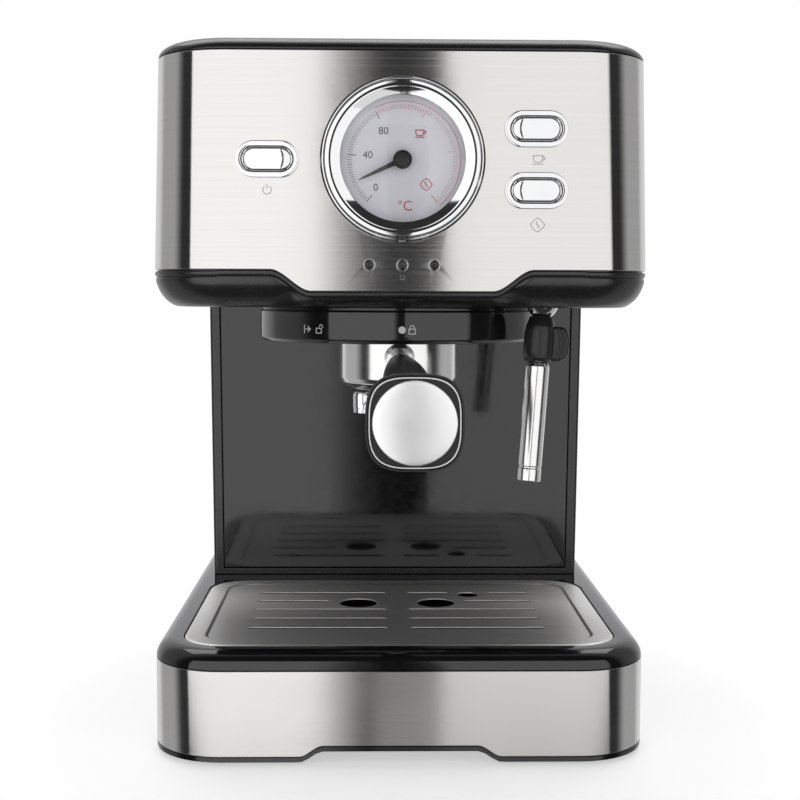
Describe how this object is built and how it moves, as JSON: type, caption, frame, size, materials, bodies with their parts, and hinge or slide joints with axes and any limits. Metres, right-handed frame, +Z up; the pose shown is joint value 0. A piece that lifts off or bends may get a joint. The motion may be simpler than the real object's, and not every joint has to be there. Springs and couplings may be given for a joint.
{
  "type": "espresso machine",
  "caption": "Pump espresso machine with a gauge in its steel front, push buttons, locking portafilter, steam wand, lift-out drip tray and rear water tank.",
  "frame": {"origin": "middle of the whole machine's box, handle and knob included, on the surface it stands on", "axes": "+Z up, +X to the user's right, +Y away from the user, from the portafilter handle to the water tank"},
  "size_m": [0.233, 0.375, 0.306],
  "materials": {
    "black_plastic": "satin moulded black with a fine grain",
    "gloss_plastic": "high gloss black",
    "brushed_steel": "fine vertical brush lines",
    "chrome": "polished",
    "aluminium": "cast and machined",
    "brass": "machined",
    "rubber": "matt",
    "dial_face": "printed pale grey dial",
    "needle_black": "matt black",
    "clear_glass": "clear flat lens",
    "lamp_clear": "clear moulded lenses",
    "circuit_board": "solder-masked board",
    "red_plastic": "moulded red",
    "silicone": "translucent white silicone",
    "smoked_plastic": "smoked clear moulding"
  },
  "bodies": {
    "machine": {"base_housing": "black_plastic", "base_band": "brushed_steel", "base_plate": "black_plastic", "foot_front_left": "rubber", "foot_front_right": "rubber", "foot_rear_left": "rubber", "foot_rear_right": "rubber", "cord_gland": "rubber", "column_shell": "black_plastic", "column_panel": "gloss_plastic", "rear_cover": "black_plastic", "head_shell": "black_plastic", "fascia": "brushed_steel", "top_lid": "gloss_plastic", "cup_deck": "brushed_steel", "gauge_housing": "black_plastic", "gauge_dial": "dial_face", "gauge_bezel": "chrome", "gauge_lens": "clear_glass", "power_button_ring": "chrome", "coffee_button_ring": "chrome", "steam_button_ring": "chrome", "switch_board": "circuit_board", "lamp_lenses": "lamp_clear", "group_shroud": "gloss_plastic", "group_head": "aluminium", "group_gasket": "rubber", "shower_screen": "brushed_steel", "shower_screw": "brushed_steel", "boiler_lower": "aluminium", "boiler_upper": "aluminium", "steam_valve": "brass", "steam_pipe": "chrome", "wand_pipe": "chrome", "tank_socket": "black_plastic", "pump": "black_plastic", "suction_hose": "silicone", "pressure_hose": "silicone"},
    "drip_tray": {"drip_tray": "black_plastic"},
    "drip_plate": {"drip_plate": "brushed_steel"},
    "tray_float": {"tray_float": "red_plastic"},
    "gauge_needle": {"gauge_needle": "needle_black"},
    "power_button": {"power_button": "chrome"},
    "coffee_button": {"coffee_button": "chrome"},
    "steam_button": {"steam_button": "chrome"},
    "portafilter": {"portafilter_body": "chrome", "portafilter_spout": "chrome", "filter_basket": "brushed_steel", "handle_grip": "black_plastic", "handle_ring": "chrome", "handle_cap": "brushed_steel"},
    "wand_ball": {"wand_ball": "chrome"},
    "steam_wand": {"wand_grip": "rubber", "wand_tube": "chrome"},
    "wand_sleeve": {"wand_sleeve": "chrome"},
    "steam_knob": {"steam_knob": "black_plastic", "valve_spindle": "brass"},
    "water_tank": {"water_tank": "smoked_plastic", "tank_valve": "black_plastic"},
    "tank_lid": {"tank_lid": "black_plastic"}
  },
  "joints": [
    {"name": "power_button_press", "type": "slide", "parent": "machine", "child": "power_button", "axis": [0, 1, 0], "range_m": [0, 0.0025], "stiffness_N_per_m": 400},
    {"name": "coffee_button_press", "type": "slide", "parent": "machine", "child": "coffee_button", "axis": [0, 1, 0], "range_m": [0, 0.0025], "stiffness_N_per_m": 400},
    {"name": "steam_button_press", "type": "slide", "parent": "machine", "child": "steam_button", "axis": [0, 1, 0], "range_m": [0, 0.0025], "stiffness_N_per_m": 400},
    {"name": "gauge_needle_turn", "type": "hinge", "parent": "machine", "child": "gauge_needle", "pos_m": [-0.00905, -0.1005, 0.2555], "axis": [0, 1, 0], "range_deg": [-21, 250], "stiffness_Nm_per_rad": 0.0005},
    {"name": "portafilter_lock", "type": "hinge", "parent": "machine", "child": "portafilter", "pos_m": [-0.00905, -0.0205, 0.185], "axis": [0, 0, 1], "range_deg": [-41, 0]},
    {"name": "wand_swing", "type": "hinge", "parent": "machine", "child": "wand_ball", "pos_m": [0.05295, -0.0695, 0.1965], "axis": [0, -1, 0], "range_deg": [0, 24]},
    {"name": "wand_tilt", "type": "hinge", "parent": "wand_ball", "child": "steam_wand", "pos_m": [0.05295, -0.0695, 0.1965], "axis": [-1, 0, 0], "range_deg": [0, 26]},
    {"name": "sleeve_pull", "type": "slide", "parent": "steam_wand", "child": "wand_sleeve", "axis": [-0.0796, -0.0899, -0.9928], "range_m": [0, 0.035]},
    {"name": "steam_knob_turn", "type": "hinge", "parent": "machine", "child": "steam_knob", "pos_m": [0.10095, 0.0545, 0.255], "axis": [1, 0, 0], "range_deg": [0, 270]},
    {"name": "tray_lift", "type": "slide", "parent": "machine", "child": "drip_tray", "axis": [0, 0, 1], "range_m": [0, 0.034]},
    {"name": "plate_lift", "type": "slide", "parent": "drip_tray", "child": "drip_plate", "axis": [0, 0, 1], "range_m": [0, 0.025]},
    {"name": "float_rise", "type": "slide", "parent": "drip_tray", "child": "tray_float", "axis": [0, 0, 1], "range_m": [0, 0.006]},
    {"name": "tank_lift", "type": "slide", "parent": "machine", "child": "water_tank", "axis": [0, 0, 1], "range_m": [0, 0.12]},
    {"name": "tank_lid_open", "type": "hinge", "parent": "water_tank", "child": "tank_lid", "pos_m": [-0.00905, 0.1805, 0.3005], "axis": [1, 0, 0], "range_deg": [-100, 0]}
  ]
}
